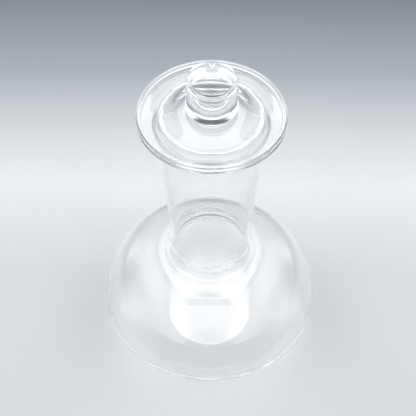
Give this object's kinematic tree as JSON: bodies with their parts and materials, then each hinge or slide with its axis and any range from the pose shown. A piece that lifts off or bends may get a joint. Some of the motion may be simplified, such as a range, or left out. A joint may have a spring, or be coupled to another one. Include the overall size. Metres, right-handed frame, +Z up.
{
  "type": "lidded glass flask",
  "caption": "Clear glass flask with a flattened round bulb on a flat foot, a long neck that opens upward to a flared lip, and a loose glass lid with a flattened ball knob.",
  "frame": {"origin": "centre of the foot, on the surface the flask stands on", "axes": "+Z up along the axis that every piece is turned about; X and Y are free, because the object is round"},
  "size_m": [0.14, 0.14, 0.2377],
  "materials": {
    "flask_glass": "clear, blown and fire-polished",
    "lid_glass": "clear, fire-polished"
  },
  "bodies": {
    "flask": {"flask_bulb": "flask_glass", "flask_neck": "flask_glass"},
    "lid": {"lid_cover": "lid_glass", "lid_skirt": "lid_glass", "lid_knob": "lid_glass"}
  },
  "joints": [
    {"name": "lid_lift", "type": "slide", "parent": "flask", "child": "lid", "axis": [0, 0, 1], "range_m": [0, 0.06]}
  ]
}
